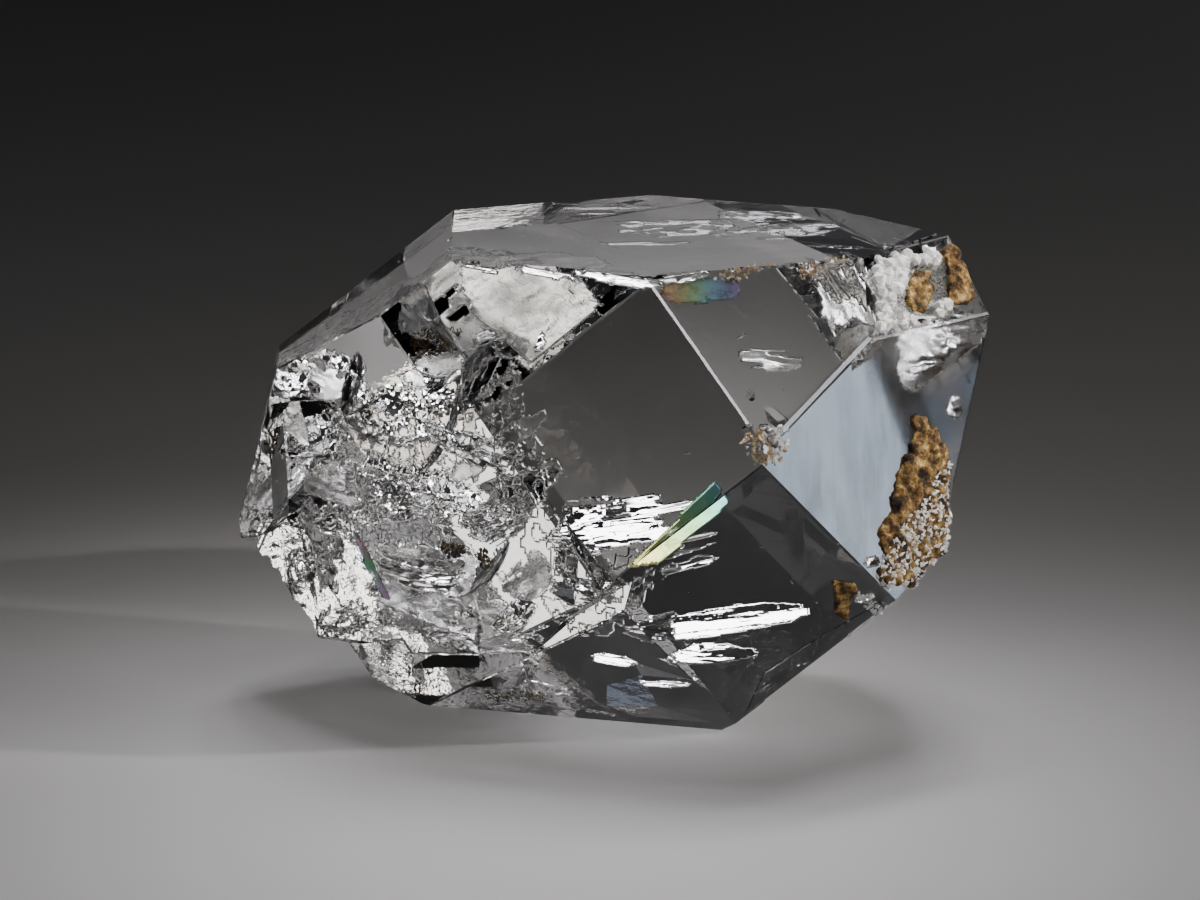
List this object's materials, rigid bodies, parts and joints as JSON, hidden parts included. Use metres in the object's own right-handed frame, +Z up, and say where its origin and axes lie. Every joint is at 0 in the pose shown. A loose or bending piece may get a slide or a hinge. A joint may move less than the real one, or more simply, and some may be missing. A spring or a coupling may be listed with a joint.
{
  "type": "herkimer diamond crystal",
  "caption": "Clear doubly terminated quartz crystal lying on a rhomb face, with a broken drusy corner and limonite crusts.",
  "frame": {"origin": "on the surface that the crystal rests on, under the middle of its box", "axes": "+Z up from the resting rhomb face; +X along the crystal's long side, towards the end with the broken corner; the big prism face looks to -Y"},
  "size_m": [0.0264, 0.0196, 0.0166],
  "materials": {
    "clear_quartz": "natural lustrous crystal faces, water clear with fractures",
    "limonite": "earthy, matt, granular"
  },
  "bodies": {
    "root": {"quartz_crystal": "clear_quartz", "limonite_crust_right": "limonite", "limonite_patch_contact_left": "limonite", "limonite_patch_contact_right": "limonite", "limonite_crumb_front": "limonite"}
  },
  "joints": []
}
